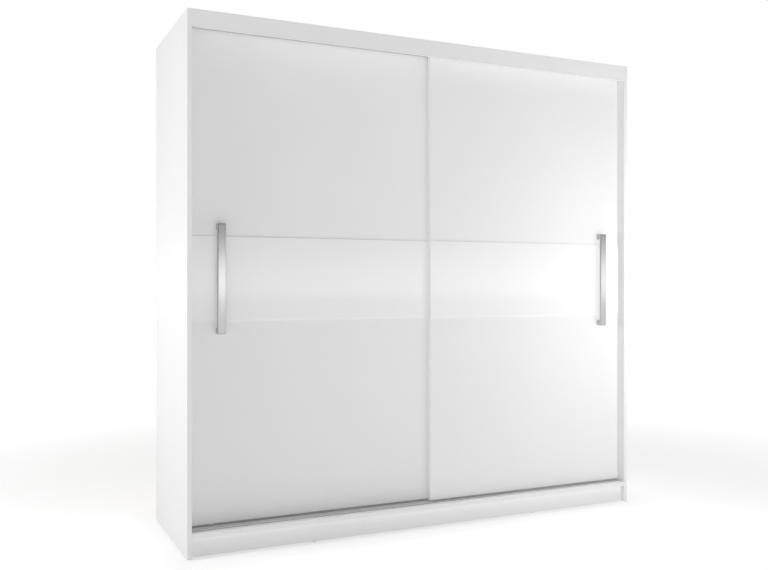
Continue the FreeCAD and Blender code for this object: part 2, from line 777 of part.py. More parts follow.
# ---------------------------------------------------------------- doors
def door(side, low_x, door_wide, lane_deep, handle_across):
    """A sliding door: board, glass band, handle, rollers and top guides."""
    tag = side + "_door"
    face = lane_deep - S["door_thick"] / 2
    back = lane_deep + S["door_thick"] / 2
    door_tall = S["door_high"] - S["door_low"]
    thick = S["door_thick"]
    mortise = S["mortise_front"] + thick / 2
    roller_ends = [("left", low_x + S["roller_inset"]), ("right", low_x + door_wide - S["roller_inset"])]
    guide_ends = [("left", low_x + S["guide_inset"]), ("right", low_x + door_wide - S["guide_inset"])]
    screw_levels = [S["handle_low"] + S["handle_foot"] / 2, S["handle_high"] - S["handle_foot"] / 2]

    # door board, with open mortises in its back for the rollers and guides
    panel = new_body(tag + "_panel", across(low_x), deep(face), S["door_low"])
    sketch = sketch_on(panel, tag + "_outline", "XZ_Plane", thick)
    rectangle(sketch, 0, 0, door_wide, door_tall)
    pad(panel, sketch, thick)
    sketch = sketch_on(panel, tag + "_mortises", "XZ_Plane", thick)
    for end, x in roller_ends:
        u = x - low_x
        rectangle(sketch, u - S["roller_box_half"] - 0.2, -1,
                  u + S["roller_box_half"] + 0.2, S["roller_box_high"] - S["door_low"])
    for end, x in guide_ends:
        u = x - low_x
        rectangle(sketch, u - S["guide_box_half"], S["guide_box_low"] - S["door_low"],
                  u + S["guide_box_half"], door_tall + 1)
    pocket(panel, sketch, mortise, -1)
    drill(panel, tag + "_handle_bores", "XZ_Plane", thick, -1, thick,
          [(handle_across - low_x, level - S["door_low"], 2.3) for level in screw_levels])

    # glass band glued on the face
    board(tag + "_glass_band", low_x, face - S["band_thick"], S["band_low"],
          door_wide, S["band_thick"], S["band_high"] - S["band_low"])

    # handle: a bent flat bar with two feet, front towards -Y
    stand = S["handle_stand"]
    grip = S["handle_bar"]
    foot = S["handle_foot"]
    handle_tall = S["handle_high"] - S["handle_low"]
    handle = new_body(tag + "_handle", across(handle_across - S["handle_wide"] / 2),
                      deep(face - stand), S["handle_low"])
    sketch = sketch_on(handle, tag + "_handle_side", "YZ_Plane")
    outline(sketch, [
        (0, 0), (stand, 0), (stand, foot), (grip, foot),
        (grip, handle_tall - foot), (stand, handle_tall - foot), (stand, handle_tall), (0, handle_tall),
    ])
    pad(handle, sketch, S["handle_wide"])
    round_edges(handle, "corner", S["handle_corner"],
                lambda b: b.YMax < 0.01 and b.XLength > 5)
    round_edges(handle, "inner", S["handle_inner"],
                lambda b: b.XLength > 5 and abs(b.YMin - grip.value) < 0.01 and abs(b.YMax - grip.value) < 0.01)
    round_edges(handle, "grip", S["handle_edge"],
                lambda b: b.XLength < 0.01 and b.YLength < 0.01 and b.ZLength > 100)
    drill(handle, tag + "_handle_threads", "XZ_Plane", stand, -1, 14,
          [(S["handle_wide"] / 2, level - S["handle_low"], 2.05) for level in screw_levels])

    keep(
        fuse(tag + "_handle_screws", [
            screw("%s_handle_screw_%d" % (tag, number), "-Y", handle_across, back, level,
                  4, 2.2, 2, thick + 12)
            for number, level in enumerate(screw_levels)
        ]),
        tag + "_handle_screws",
    )

    # roller housings, axles, adjusting screws and rollers
    housings, axles, adjusters, hardware = [], [], [], []
    for end, x in roller_ends:
        name = "%s_roller_box_%s" % (tag, end)
        box_half = S["roller_box_half"]
        solid = fuse(name + "_solid", [
            block(name + "_block", x - box_half, lane_deep - S["mortise_front"] + 0.2, S["door_low"] + 0.2,
                  2 * box_half, mortise - 0.2, S["roller_box_high"] - S["door_low"] - 0.4),
            block(name + "_plate", x - box_half - 9, back, S["door_low"] + 2,
                  2 * box_half + 18, S["plate_thick"], 48),
        ])
        tools = [
            block(name + "_slot", x - 14, lane_deep - 4, S["door_low"] - 2, 28, 8, 23),
            rod(name + "_axle_bore", "Y", x, lane_deep - S["mortise_front"] - 1, S["wheel_up"],
                S["axle_rad"] + 0.03, mortise + S["plate_thick"] + 2),
            rod(name + "_adjuster_bore", "Z", x + 22, lane_deep + 1, S["door_low"] - 1, 2.1, 36),
        ]
        for sign in (-1, 1):
            tools.append(
                rod("%s_screw_bore_%s" % (name, "low" if sign < 0 else "high"), "Y",
                    x + sign * 34.5, back - 1, S["door_low"] + 25, 1.8, 5)
            )
            hardware.append(
                screw("%s_screw_%s" % (name, "low" if sign < 0 else "high"), "-Y",
                      x + sign * 34.5, back + S["plate_thick"], S["door_low"] + 25, 3, 1.6, 1.6, 14)
            )
        housings.append(cut(name, solid, fuse(name + "_tools", tools)))
        axles.append(rod(name + "_axle", "Y", x, lane_deep - S["mortise_front"] + 0.6, S["wheel_up"],
                         S["axle_rad"], mortise + 1))
        adjusters.append(rod(name + "_adjuster", "Z", x + 22, lane_deep + 1, S["door_low"] + 2, 2.05, 31))
        rad, groove, bore = S["wheel_rad"], S["wheel_groove"], S["wheel_bore"]
        deep_half, groove_half = S["wheel_half"], S["groove_half"]
        revolved("%s_roller_%s" % (tag, end), "XY_Plane", across(x), deep(lane_deep), S["wheel_up"], [
            (bore, 0 - deep_half), (rad - 0.5, 0 - deep_half), (rad, 0 - deep_half + 0.5),
            (rad, 0 - groove_half - 0.6), (groove, 0 - groove_half),
            (groove, groove_half), (rad, groove_half + 0.6),
            (rad, deep_half - 0.5), (rad - 0.5, deep_half), (bore, deep_half),
        ])
    keep(fuse(tag + "_roller_housings", housings), tag + "_roller_housings")
    keep(fuse(tag + "_roller_axles", axles), tag + "_roller_axles")
    keep(fuse(tag + "_roller_adjusters", adjusters), tag + "_roller_adjusters")

    # sprung top guides
    housings = []
    for end, x in guide_ends:
        name = "%s_guide_box_%s" % (tag, end)
        box_half = S["guide_box_half"]
        solid = fuse(name + "_solid", [
            block(name + "_block", x - box_half + 0.2, lane_deep - S["mortise_front"] + 0.2,
                  S["guide_box_low"] + 0.2, 2 * box_half - 0.4, mortise - 0.2,
                  S["door_high"] - S["guide_box_low"] - 0.2),
            block(name + "_plate", x - box_half - 9, back, S["guide_box_low"] - 8,
                  2 * box_half + 18, S["plate_thick"], S["door_high"] - S["guide_box_low"] + 8),
        ])
        tools = [
            rod(name + "_bore", "Z", x, lane_deep, S["spring_low"] - 0.3, S["guide_bore"],
                S["door_high"] - 4 - S["spring_low"] + 0.3),
            rod(name + "_mouth", "Z", x, lane_deep, S["door_high"] - 6, S["guide_rad"] + 0.3, 8),
        ]
        for sign in (-1, 1):
            tools.append(
                rod("%s_screw_bore_%s" % (name, "low" if sign < 0 else "high"), "Y",
                    x + sign * 24.5, back - 1, S["door_high"] - 26, 1.8, 5)
            )
            hardware.append(
                screw("%s_screw_%s" % (name, "low" if sign < 0 else "high"), "-Y",
                      x + sign * 24.5, back + S["plate_thick"], S["door_high"] - 26, 3, 1.6, 1.6, 14)
            )
        housings.append(cut(name, solid, fuse(name + "_tools", tools)))
        # pin, turned about its own upright axis: tail, collar, neck, tip
        tip = S["guide_tip_up"]
        collar_top = S["door_high"] - 4.3
        tail, collar, neck = 2.5, S["collar_rad"], S["guide_rad"]
        revolved("%s_guide_pin_%s" % (tag, end), "XZ_Plane", across(x), deep(lane_deep), length(0), [
            (0, collar_top - 16), (tail, collar_top - 16), (tail, collar_top - 6),
            (collar, collar_top - 6), (collar, collar_top), (neck, collar_top),
            (neck, tip - 1.5), (neck - 1.5, tip), (0, tip),
        ])
        wire(tag, end, x, lane_deep)
    keep(fuse(tag + "_guide_housings", housings), tag + "_guide_housings")
    keep(fuse(tag + "_hardware_screws", hardware), tag + "_hardware_screws")


def round_edges(body, name, size, wanted):
    """Round the edges of the body's present solid that wanted() accepts."""
    tip = body.Tip
    edges = ["Edge%d" % (i + 1) for i, e in enumerate(tip.Shape.Edges) if wanted(e.BoundBox)]
    if not edges:
        raise RuntimeError(body.Label + ": no edges for " + name)
    before = body.Shape.Volume
    feature = body.newObject("PartDesign::Fillet", body.Label + "_" + name)
    feature.Base = (tip, edges)
    bind(feature, "Radius", size)
    doc.recompute()
    if abs(body.Shape.Volume - before) < 1e-6:
        raise RuntimeError(body.Label + ": " + name + " rounds nothing")


def wire(tag, end, x, lane_deep):
    """Compression spring under a guide pin."""
    label = "%s_guide_spring_%s" % (tag, end)
    body = new_body(label, across(x), deep(lane_deep), S["spring_low"])
    sketch = sketch_on(body, label + "_wire", "XZ_Plane")
    circle(sketch, S["spring_mid"], S["spring_wire"] / 2, S["spring_wire"] / 2)
    doc.recompute()
    coil = body.newObject("PartDesign::AdditiveHelix", label + "_coil")
    coil.Profile = sketch
    coil.ReferenceAxis = (sketch, ["V_Axis"])
    coil.Mode = 0
    bind(coil, "Pitch", S["spring_pitch"])
    bind(coil, "Height", S["spring_turns_tall"])
    doc.recompute()


door("left", left_door_low_x, S["left_door_wide"], S["rear_lane"], S["left_handle_across"])
door("right", right_door_low_x, S["right_door_wide"], S["front_lane"], S["right_handle_across"])

# ---------------------------------------------------------------- test and write
doc.recompute()
problems = []
for item in doc.Objects:
    if any(state in ("Invalid", "Error") for state in item.State):
        problems.append("%s is %s" % (item.Label, item.State))
labels = [item.Label for item in SUBPARTS]
if len(set(labels)) != len(labels) or len(labels) > 60:
    problems.append("labels repeat or are too many: %d" % len(labels))
for item in SUBPARTS:
    if item.Shape.isNull() or not item.Shape.isValid() or not item.Shape.Solids:
        problems.append(item.Label + " has no valid solid")
if problems:
    raise RuntimeError("; ".join(problems))

for old in os.listdir("parts"):
    if old.endswith(".step"):
        os.remove(os.path.join("parts", old))
for item in SUBPARTS:
    item.Shape.exportStep("parts/%s.step" % item.Label)
    print("%-34s solids %2d  volume %12.1f" % (item.Label, len(item.Shape.Solids), item.Shape.Volume))
print("sub-parts:", len(SUBPARTS))
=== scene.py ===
import math

import bmesh
import bpy
import json
from mathutils import Matrix, Vector


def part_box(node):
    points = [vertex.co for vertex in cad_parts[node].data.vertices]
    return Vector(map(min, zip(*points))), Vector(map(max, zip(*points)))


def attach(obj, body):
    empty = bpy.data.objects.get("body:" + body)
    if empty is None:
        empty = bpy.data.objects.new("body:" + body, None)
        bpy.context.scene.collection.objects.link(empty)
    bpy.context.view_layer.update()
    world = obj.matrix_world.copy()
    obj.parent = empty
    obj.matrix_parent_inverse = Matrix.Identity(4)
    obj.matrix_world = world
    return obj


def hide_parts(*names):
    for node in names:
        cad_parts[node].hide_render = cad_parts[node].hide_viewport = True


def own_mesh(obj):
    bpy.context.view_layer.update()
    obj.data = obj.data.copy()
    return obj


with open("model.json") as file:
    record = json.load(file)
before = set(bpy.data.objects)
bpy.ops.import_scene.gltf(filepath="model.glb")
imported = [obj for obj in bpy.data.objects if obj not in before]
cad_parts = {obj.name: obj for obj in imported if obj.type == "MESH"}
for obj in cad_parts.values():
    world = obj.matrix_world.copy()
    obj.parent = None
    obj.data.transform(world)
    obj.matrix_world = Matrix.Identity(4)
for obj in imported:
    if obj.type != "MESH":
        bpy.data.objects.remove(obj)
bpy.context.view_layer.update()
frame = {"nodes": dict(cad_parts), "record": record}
nodes = frame["nodes"]
record = frame["record"]
node_body = {n: b for b, members in record["behaviour"]["bodies"].items() for n in members}
MM = 0.001

# ------------------------------------------------------------------ camera
camera_data = bpy.data.cameras.new("camera")
camera = bpy.data.objects.new("camera", camera_data)
bpy.context.scene.collection.objects.link(camera)
camera_data.sensor_width = 36.0
camera_data.lens = 40.68
camera.location = (-1.6889, -3.4444, 0.9975)
camera.rotation_euler = (math.radians(90), 0, math.radians(-25))
camera_data.clip_start, camera_data.clip_end = 0.05, 200
bpy.context.scene.camera = camera


# ------------------------------------------------------------------ materials
class Nodes:
    """A short way to write a node material."""

    def __init__(self, name):
        self.mat = bpy.data.materials.new(name)
        self.mat.use_nodes = True
        self.tree = self.mat.node_tree
        self.shader = self.tree.nodes["Principled BSDF"]
        self.coord = self.tree.nodes.new("ShaderNodeTexCoord")

    def put(self, **sockets):
        for name, value in sockets.items():
            self.shader.inputs[name.replace("_", " ")].default_value = value
        return self

    def node(self, kind, **props):
        made = self.tree.nodes.new(kind)
        for name, value in props.items():
            setattr(made, name, value)
        return made

    def link(self, a, b):
        self.tree.links.new(a, b)

    def stretched(self, scale):
        mapping = self.node("ShaderNodeMapping")
        mapping.inputs["Scale"].default_value = scale
        self.link(self.coord.outputs["Object"], mapping.inputs["Vector"])
        return mapping.outputs["Vector"]

    def noise(self, scale, detail=4.0, rough=0.55, stretch=(1, 1, 1)):
        made = self.node("ShaderNodeTexNoise")
        made.inputs["Scale"].default_value = scale
        made.inputs["Detail"].default_value = detail
        made.inputs["Roughness"].default_value = rough
        self.link(self.stretched(stretch), made.inputs["Vector"])
        return made.outputs["Fac"]

    def band(self, source, low, high, from_low=0.3, from_high=0.7):
        made = self.node("ShaderNodeMapRange")
        for name, value in (("From Min", from_low), ("From Max", from_high), ("To Min", low), ("To Max", high)):
            made.inputs[name].default_value = value
        self.link(source, made.inputs["Value"])
        return made.outputs["Result"]

    def blend(self, source, one, two):
        made = self.node("ShaderNodeMix", data_type="RGBA")
        self.link(source, made.inputs["Factor"])
        made.inputs["A"].default_value = (*one, 1)
        made.inputs["B"].default_value = (*two, 1)
        return made.outputs["Result"]

    def blend_linked(self, source, one, two):
        made = self.node("ShaderNodeMix", data_type="RGBA")
        self.link(source, made.inputs["Factor"])
        self.link(one, made.inputs["A"])
        made.inputs["B"].default_value = (*two, 1)
        return made.outputs["Result"]

    def colour(self, output):
        self.link(output, self.shader.inputs["Base Color"])
        return self

    def rough(self, output):
        self.link(output, self.shader.inputs["Roughness"])
        return self

    def bump(self, height, strength, distance, normal=None):
        made = self.node("ShaderNodeBump")
        made.inputs["Strength"].default_value = strength
        made.inputs["Distance"].default_value = distance
        self.link(height, made.inputs["Height"])
        if normal is not None:
            self.link(normal, made.inputs["Normal"])
        self.link(made.outputs["Normal"], self.shader.inputs["Normal"])
        return made.outputs["Normal"]


def melamine(name="melamine", tone=0.80):
    """White decor paper under melamine resin: satin, with the fine pearl of the press plate."""
    m = Nodes(name)
    cloud = m.noise(3.0, 3)
    pearl = m.noise(1400, 3, 0.6)
    m.colour(m.blend(m.band(cloud, 0, 1), (tone, tone, tone * 0.998), (tone * 1.012, tone * 1.012, tone * 1.012)))
    m.rough(m.band(m.noise(420, 4), 0.36, 0.46))
    m.bump(pearl, 0.12, 0.00006)
    m.put(Specular_IOR_Level=0.42, IOR=1.5)
    return m.mat


def edging():
    """ABS edge band: a little smoother than the board, with a faint fine grain."""
    m = Nodes("edging")
    m.colour(m.blend(m.noise(6, 2), (0.795, 0.795, 0.795), (0.812, 0.812, 0.810)))
    m.rough(m.band(m.noise(900, 3), 0.30, 0.38))
    m.bump(m.noise(700, 2), 0.08, 0.00004)
    m.put(Specular_IOR_Level=0.45)
    return m.mat


def chipboard():
    m = Nodes("chipboard_core")
    chips = m.node("ShaderNodeTexVoronoi")
    chips.inputs["Scale"].default_value = 420
    m.link(m.stretched((1, 1, 1)), chips.inputs["Vector"])
    m.colour(m.blend(chips.outputs["Distance"], (0.36, 0.24, 0.13), (0.62, 0.47, 0.30)))
    m.put(Roughness=0.85)
    m.bump(chips.outputs["Distance"], 0.5, 0.0003)
    return m.mat


def back_painted_glass():
    """Toughened glass painted white on its back: deep even gloss with the faintest roller wave."""
    m = Nodes("white_glass_face")
    m.colour(m.blend(m.noise(2.2, 2), (0.828, 0.830, 0.829), (0.836, 0.838, 0.837)))
    m.rough(m.band(m.noise(9, 2), 0.03, 0.05))
    m.bump(m.noise(5.5, 1, 0.4, (1, 1, 2.5)), 0.02, 0.0005)
    m.put(Coat_Weight=0.12, Coat_Roughness=0.02, Coat_IOR=1.5, IOR=1.5)
    return m.mat


def glass_edge():
    """Ground and polished edge of the sheet, where the glass's own green shows."""
    m = Nodes("white_glass_edge")
    m.colour(m.blend(m.noise(60, 3), (0.60, 0.72, 0.68), (0.68, 0.78, 0.74)))
    m.rough(m.band(m.noise(400, 2), 0.08, 0.18))
    m.bump(m.noise(1500, 2), 0.05, 0.00003)
    m.put(Coat_Weight=0.8, Coat_Roughness=0.03)
    return m.mat


def satin_chrome():
    """Chrome over a surface brushed along the bar."""
    m = Nodes("satin_chrome")
    grain = m.noise(1.0, 5, 0.65, (5200, 5200, 26))
    fine = m.noise(1.0, 3, 0.6, (14000, 14000, 90))
    m.colour(m.blend(m.band(grain, 0, 1), (0.46, 0.46, 0.465), (0.53, 0.53, 0.535)))
    m.rough(m.band(grain, 0.08, 0.14))
    first = m.bump(grain, 0.10, 0.00003)
    m.bump(fine, 0.06, 0.00001, first)
    m.put(Metallic=1.0)
    return m.mat


def polished_chrome():
    m = Nodes("polished_chrome")
    m.colour(m.blend(m.noise(30, 3), (0.68, 0.68, 0.69), (0.76, 0.76, 0.765)))
    m.rough(m.band(m.noise(1.0, 4, 0.6, (40, 3000, 3000)), 0.05, 0.12))
    m.bump(m.noise(1.0, 3, 0.6, (30, 2500, 2500)), 0.04, 0.00001)
    m.put(Metallic=1.0)
    return m.mat


def anodised():
    """Natural anodised extrusion: die lines run along X."""
    m = Nodes("track_aluminium")
    lines = m.noise(1.0, 5, 0.7, (4, 2600, 2600))
    m.colour(m.blend(m.band(lines, 0, 1), (0.60, 0.60, 0.605), (0.67, 0.67, 0.675)))
    m.rough(m.band(lines, 0.34, 0.48))
    m.bump(lines, 0.18, 0.00003)
    m.put(Metallic=0.35, Specular_IOR_Level=0.5)
    return m.mat


def zinc_steel(name="zinc_steel", dark=0.42, light=0.60):
    m = Nodes(name)
    spots = m.noise(900, 4, 0.6)
    m.colour(m.blend(m.band(spots, 0, 1), (dark, dark * 1.01, dark * 1.04), (light, light * 1.01, light * 1.02)))
    m.rough(m.band(m.noise(600, 3), 0.26, 0.42))
    m.bump(spots, 0.12, 0.00003)
    m.put(Metallic=1.0)
    return m.mat


def spring_steel():
    m = Nodes("spring_steel")
    m.colour(m.blend(m.noise(2500, 3), (0.30, 0.30, 0.31), (0.48, 0.48, 0.49)))
    m.rough(m.band(m.noise(1800, 3), 0.25, 0.4))
    m.put(Metallic=1.0)
    return m.mat


def plastic(name, one, two, low, high, grain=1600.0, strength=0.2):
    """Moulded plastic with a spark-eroded grain."""
    m = Nodes(name)
    cells = m.noise(grain, 4, 0.6)
    m.colour(m.blend(m.band(cells, 0, 1), one, two))
    m.rough(m.band(m.noise(grain * 0.4, 3), low, high))
    m.bump(cells, strength, 0.00005)
    m.put(Specular_IOR_Level=0.45)
    return m.mat


def nylon():
    m = Nodes("white_nylon")
    m.colour(m.blend(m.noise(300, 3), (0.70, 0.69, 0.64), (0.78, 0.77, 0.72)))
    m.rough(m.band(m.noise(900, 3), 0.34, 0.5))
    m.put(Subsurface_Weight=0.12, Subsurface_Scale=0.002, Subsurface_Radius=(1.0, 0.9, 0.7))
    return m.mat


def beech():
    m = Nodes("beech")
    rings = m.node("ShaderNodeTexWave", wave_type="BANDS", bands_direction="Z")
    rings.inputs["Scale"].default_value = 260
    rings.inputs["Distortion"].default_value = 5
    rings.inputs["Detail"].default_value = 3
    m.link(m.stretched((0.12, 1, 1)), rings.inputs["Vector"])
    m.colour(m.blend(rings.outputs["Fac"], (0.52, 0.34, 0.20), (0.66, 0.47, 0.30)))
    m.put(Roughness=0.6)
    m.bump(rings.outputs["Fac"], 0.2, 0.0001)
    return m.mat


def hardboard(name, one, two, low, high):
    """Thin hardboard: a pressed felt of fibres."""
    m = Nodes(name)
    felt = m.noise(260, 6, 0.7, (1, 1, 0.6))
    fibre = m.noise(1.0, 4, 0.65, (900, 900, 220))
    m.colour(m.blend(m.band(felt, 0, 1), one, two))
    m.rough(m.band(fibre, low, high))
    m.bump(fibre, 0.25, 0.00012)
    return m.mat


M = {
    "melamine": melamine(),
    "edging": edging(),
    "core": chipboard(),
    "glass": back_painted_glass(),
    "glass_edge": glass_edge(),
    "satin": satin_chrome(),
    "chrome": polished_chrome(),
    "track": anodised(),
    "zinc": zinc_steel(),
    "cast": zinc_steel("cast_zinc", 0.30, 0.46),
    "spring": spring_steel(),
    "grey": plastic("grey_plastic", (0.23, 0.235, 0.24), (0.29, 0.295, 0.30), 0.42, 0.58),
    "white_plastic": plastic("white_plastic", (0.74, 0.74, 0.73), (0.79, 0.79, 0.78), 0.4, 0.55),
    "rubber": plastic("black_rubber", (0.02, 0.02, 0.02), (0.045, 0.045, 0.045), 0.65, 0.85, 900, 0.35),
    "nylon": nylon(),
    "beech": beech(),
    "back_in": hardboard("white_hardboard", (0.76, 0.76, 0.75), (0.80, 0.80, 0.79), 0.42, 0.55),
    "back_out": hardboard("raw_hardboard", (0.33, 0.22, 0.13), (0.45, 0.32, 0.20), 0.62, 0.8),
}


# ------------------------------------------------------------------ mesh helpers
def finish_piece(bm, name, materials, body, replaced=(), smooth=True, weighted=True):
    """A bmesh in metres and row-frame places becomes a piece that rides on a body."""
    bmesh.ops.recalc_face_normals(bm, faces=bm.faces)
    mesh = bpy.data.meshes.new(name)
    bm.to_mesh(mesh)
    bm.free()
    for mat in materials:
        mesh.materials.append(mat)
    for poly in mesh.polygons:
        poly.use_smooth = smooth
    piece = bpy.data.objects.new(name, mesh)
    bpy.context.scene.collection.objects.link(piece)
    if weighted:
        mod = piece.modifiers.new("face_normals", "WEIGHTED_NORMAL")
        mod.keep_sharp = True
        mod.weight = 50
    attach(piece, body)
    if replaced:
        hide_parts(*replaced)
    return piece


def add_box(bm, lo, hi, radius=0.0, segments=2, material=0, only=None):
    """A box with its edges rounded; only(edge) picks which."""
    lo, hi = Vector(lo), Vector(hi)
    made = bmesh.ops.create_cube(bm, size=1.0)
    verts = made["verts"]
    centre, size = (lo + hi) / 2, hi - lo
    for v in verts:
        v.co = Vector((centre[i] + v.co[i] * size[i] for i in range(3)))
    faces = {f for v in verts for f in v.link_faces}
    for f in faces:
        f.material_index = material
    if radius > 0:
        edges = {e for v in verts for e in v.link_edges}
        if only:
            edges = {e for e in edges if only(e)}
        bmesh.ops.bevel(
            bm, geom=list(edges), offset=radius, segments=segments, profile=0.5,
            affect="EDGES", clamp_overlap=True, material=-1,
        )


def lathe(bm, centre, axis, profile, steps=48, material=0, fluted=0):
    """Turn profile [(radius, along)] about the line through centre along axis."""
    axis = Vector(axis).normalized()
    side = Vector((1, 0, 0)) if abs(axis.x) < 0.9 else Vector((0, 1, 0))
    u = axis.cross(side).normalized()
    w = axis.cross(u).normalized()
    centre = Vector(centre)
    rings = []
    for radius, along in profile:
        if radius < 1e-9:
            rings.append([bm.verts.new(centre + axis * along)])
            continue
        ring = []
        for i in range(steps):
            angle = 2 * math.pi * i / steps
            r = radius
            if fluted and i % 2:
                r = radius * 0.93
            ring.append(bm.verts.new(centre + axis * along + (u * math.cos(angle) + w * math.sin(angle)) * r))
        rings.append(ring)
    for a, b in zip(rings, rings[1:]):
        for i in range(steps):
            j = (i + 1) % steps
            if len(a) == 1 and len(b) == 1:
                continue
            if len(a) == 1:
                face = bm.faces.new((a[0], b[j], b[i]))
            elif len(b) == 1:
                face = bm.faces.new((a[i], a[j], b[0]))
            else:
                face = bm.faces.new((a[i], a[j], b[j], b[i]))
            face.material_index = material
    return rings


def closed_lathe(bm, centre, axis, profile, steps=48, material=0):
    """As lathe, for a ring: the profile closes on itself."""
    rings = lathe(bm, centre, axis, profile, steps, material)
    a, b = rings[-1], rings[0]
    for i in range(steps):
        j = (i + 1) % steps
        bm.faces.new((a[i], a[j], b[j], b[i])).material_index = material


def extrude_section(bm, points, axis_index, lo, hi, material=0):
    """Extrude a closed section (two coordinates) along a row axis; returns the end faces and their edges."""
    def at(p, value):
        if axis_index == 0:
            return Vector((value, p[0], p[1]))
        return Vector((p[0], value, p[1]))
    one = [bm.verts.new(at(p, lo)) for p in points]
    two = [bm.verts.new(at(p, hi)) for p in points]
    count = len(points)
    ends = [bm.faces.new(one), bm.faces.new(list(reversed(two)))]
    for i in range(count):
        j = (i + 1) % count
        face = bm.faces.new((one[i], two[i], two[j], one[j]))
        face.material_index = material
    for f in ends:
        f.material_index = material
    loops = [e for f in ends for e in f.edges]
    return ends, loops


def arc(cx, cz, radius, start, stop, steps):
    return [
        (cx + radius * math.cos(math.radians(start + (stop - start) * i / steps)),
         cz + radius * math.sin(math.radians(start + (stop - start) * i / steps)))
        for i in range(steps + 1)
    ]


# ------------------------------------------------------------------ boards
BAND = 1.0 * MM
GROOVE = 0.08 * MM


def board_piece(node, banded, bores=()):
    """A melamine board with ABS edging on its banded sides ('-y' and so on)."""
    lo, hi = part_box(node)
    lo, hi = Vector(lo), Vector(hi)
    core_lo, core_hi = lo.copy(), hi.copy()
    for side in banded:
        i = "xyz".index(side[1])
        if side[0] == "-":
            core_lo[i] += BAND + GROOVE
        else:
            core_hi[i] -= BAND + GROOVE
    bm = bmesh.new()
    add_box(bm, core_lo, core_hi, 0.25 * MM, 1, 0)
    thin = min(range(3), key=lambda k: (hi - lo)[k])
    for side in banded:
        i = "xyz".index(side[1])
        strip_lo, strip_hi = lo.copy(), hi.copy()
        if side[0] == "-":
            strip_hi[i] = lo[i] + BAND
            face = lo[i]
        else:
            strip_lo[i] = hi[i] - BAND
            face = hi[i]
        others = [k for k in range(3) if k not in (i, thin)]
        for other in banded:
            k = "xyz".index(other[1])
            if k in others and other != side:
                # the strips on the upright sides run through, the others butt to them
                if k < i:
                    continue
                if other[0] == "-":
                    strip_lo[k] += BAND + GROOVE
                else:
                    strip_hi[k] -= BAND + GROOVE
        add_box(
            bm, strip_lo, strip_hi, 0.75 * MM, 3, 1,
            only=lambda e: all(abs(v.co[i] - face) < 1e-7 for v in e.verts),
        )
    piece = finish_piece(bm, node + "_board", [M["melamine"], M["edging"], M["core"]], node_body[node], [node])
    if bores:
        cutter_bm = bmesh.new()
        for centre, axis, radius, deep in bores:
            lathe(cutter_bm, centre, axis, [(0, -1 * MM), (radius, -1 * MM), (radius, deep), (0, deep)], 32, 0)
        bmesh.ops.recalc_face_normals(cutter_bm, faces=cutter_bm.faces)
        cutter_mesh = bpy.data.meshes.new("cutter")
        cutter_bm.to_mesh(cutter_mesh)
        cutter_bm.free()
        cutter_mesh.materials.append(M["core"])
        cutter = bpy.data.objects.new("cutter", cutter_mesh)
        bpy.context.scene.collection.objects.link(cutter)
        mod = piece.modifiers.new("bores", "BOOLEAN")
        mod.operation, mod.solver, mod.object = "DIFFERENCE", "EXACT", cutter
        mod.material_mode = "TRANSFER"
        weighted = piece.modifiers["face_normals"]
        piece.modifiers.remove(weighted)
        graph = bpy.context.evaluated_depsgraph_get()
        cut_mesh = bpy.data.meshes.new_from_object(piece.evaluated_get(graph))
        cut_mesh.name = piece.name + "_bored"
        old = piece.data
        piece.modifiers.clear()
        piece.data = cut_mesh
        bpy.data.meshes.remove(old)
        bpy.data.objects.remove(cutter)
        for poly in piece.data.polygons:
            poly.use_smooth = False
    return piece


def cam_bores(z, axis):
    """The cam bores seen from outside, where the cams are."""
    lo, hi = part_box("bottom_panel")
    out = []
    for x in (lo.x + 34 * MM, hi.x - 34 * MM):
        for y in (170, 340, 520):
            out.append((Vector((x, lo.y + y * MM, z)), axis, 7.5 * MM, 12.5 * MM))
    return out


board_piece("left_side_panel", ("-y", "-z", "+z"))
board_piece("right_side_panel", ("-y", "-z", "+z"))
board_piece("bottom_panel", ("-y",), cam_bores(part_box("bottom_panel")[0].z, (0, 0, 1)))
board_piece("top_panel", ("-y",), cam_bores(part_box("top_panel")[1].z, (0, 0, -1)))
board_piece("centre_partition", ("-y",))
board_piece("front_plinth", ("-z",))
board_piece("rear_plinth", ("-z",))
board_piece("centre_support", ("-z",))
board_piece("front_fascia", ("-z", "+z"))
for node in ("left_hat_shelf", "right_hat_shelf", "right_shelf_1", "right_shelf_2", "right_shelf_3"):
    board_piece(node, ("-y",))


